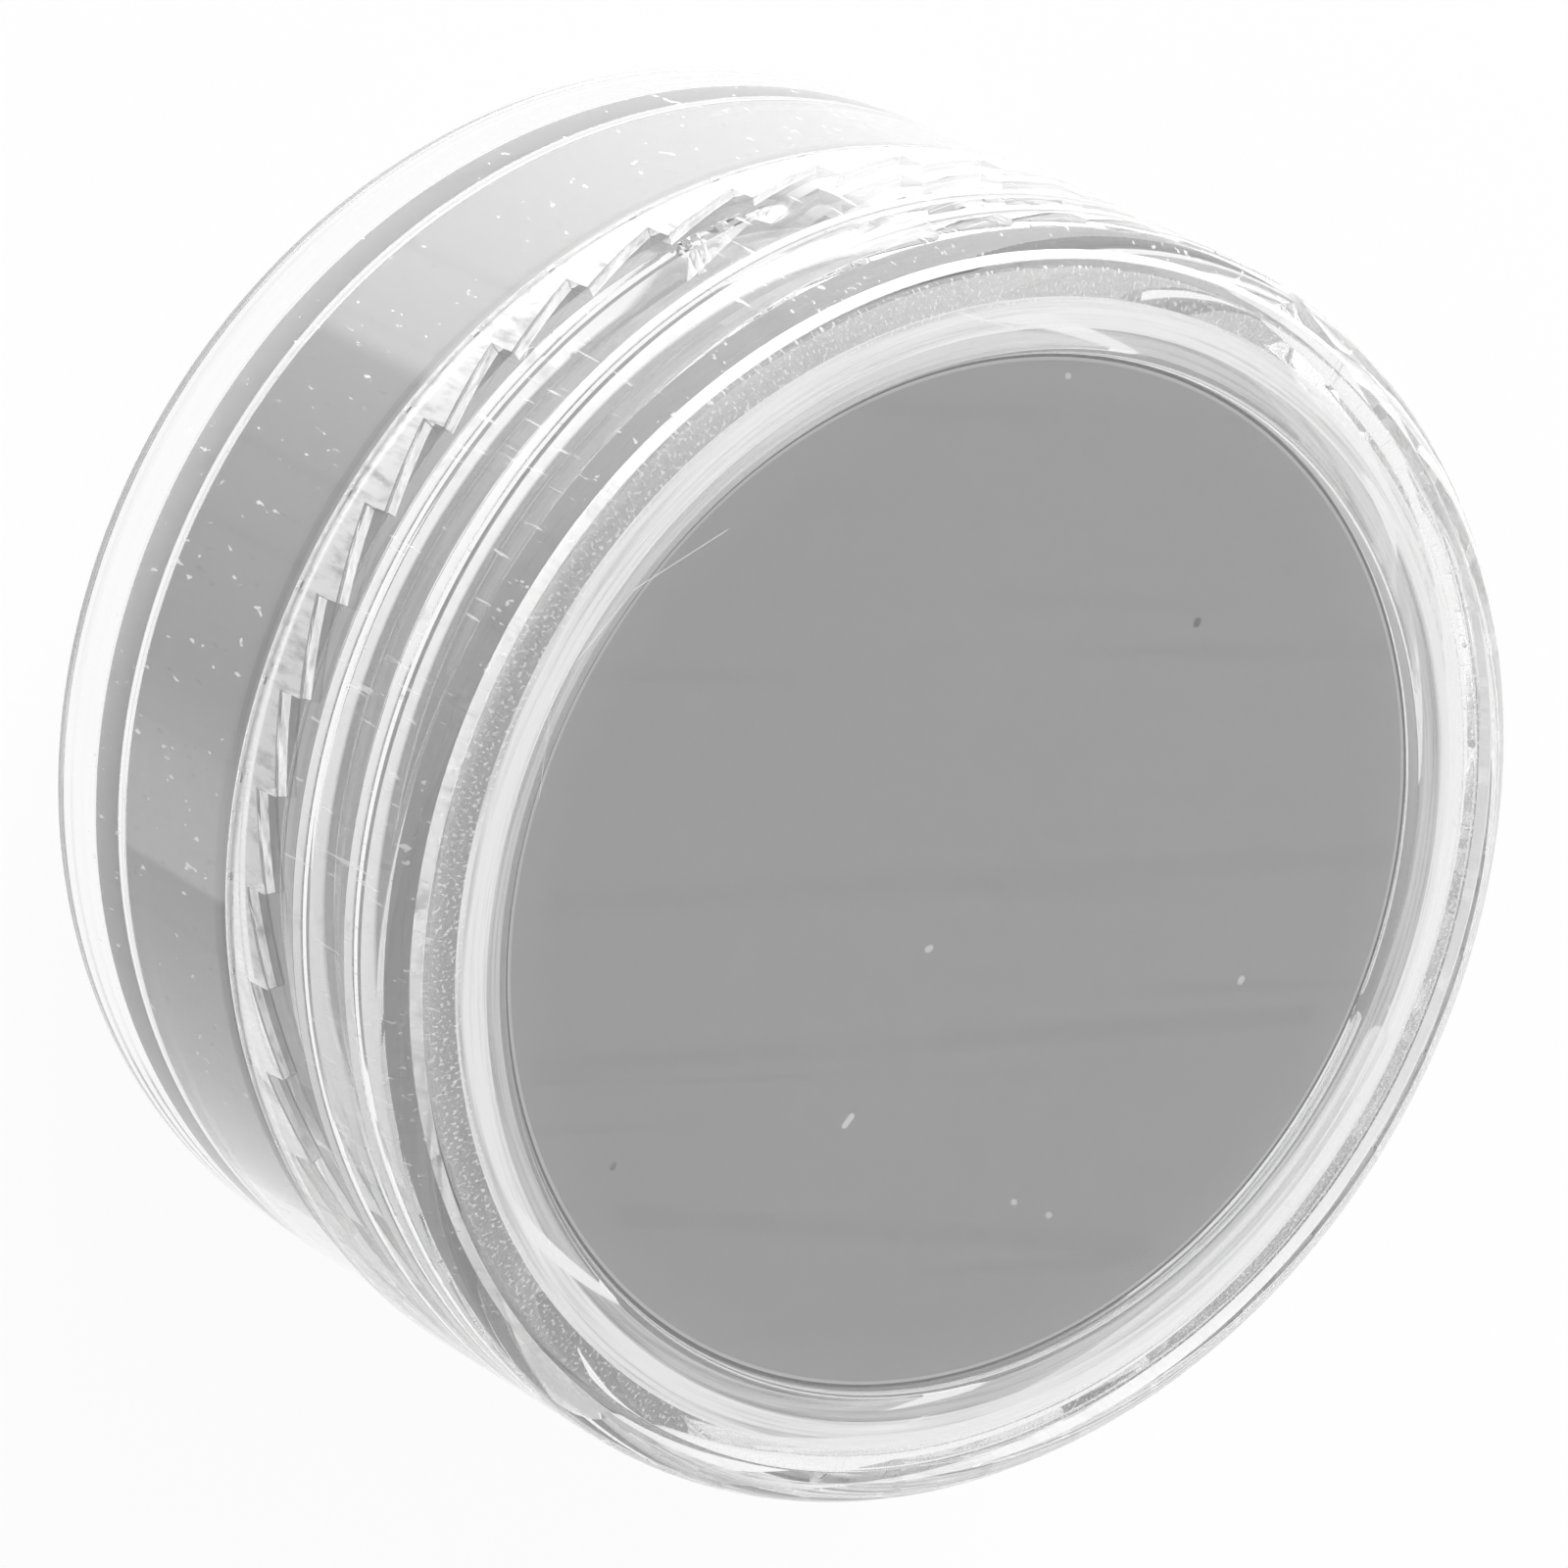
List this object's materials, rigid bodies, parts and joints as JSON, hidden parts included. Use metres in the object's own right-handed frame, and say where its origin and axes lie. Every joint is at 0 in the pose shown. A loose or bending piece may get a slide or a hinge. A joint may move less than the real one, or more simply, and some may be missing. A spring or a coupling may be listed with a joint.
{
  "type": "screw-lid colour jar",
  "caption": "Round clear plastic jar with a recessed base, a screw lid, a clear sealing disc and a solid cake of grey colour for model making.",
  "frame": {"origin": "middle of the foot, on the surface that the jar stands on", "axes": "+Z along the jar's axis towards the lid, X and Y across"},
  "size_m": [0.063, 0.063, 0.033],
  "materials": {
    "jar_plastic": "clear moulded styrene, gloss",
    "lid_plastic": "clear moulded styrene, gloss, lightly scratched",
    "seal_plastic": "thin clear sheet, gloss",
    "grey_colour": "matt solid grey colour"
  },
  "bodies": {
    "jar": {"jar": "jar_plastic", "colour_cake": "grey_colour"},
    "seal": {"sealing_disc": "seal_plastic"},
    "lid": {"screw_lid": "lid_plastic"}
  },
  "joints": [
    {"name": "lid_lift", "type": "slide", "parent": "jar", "child": "seal", "axis": [0, 0, 1], "range_m": [0, 0.00675]},
    {"name": "lid_turn", "type": "hinge", "parent": "seal", "child": "lid", "pos_m": [0, 0, 0.025], "axis": [0, 0, 1], "range_deg": [0, 270]}
  ],
  "couplings": [
    {"joint": "lid_lift", "follows": "lid_turn", "m_per_rad": 0.0014324}
  ]
}
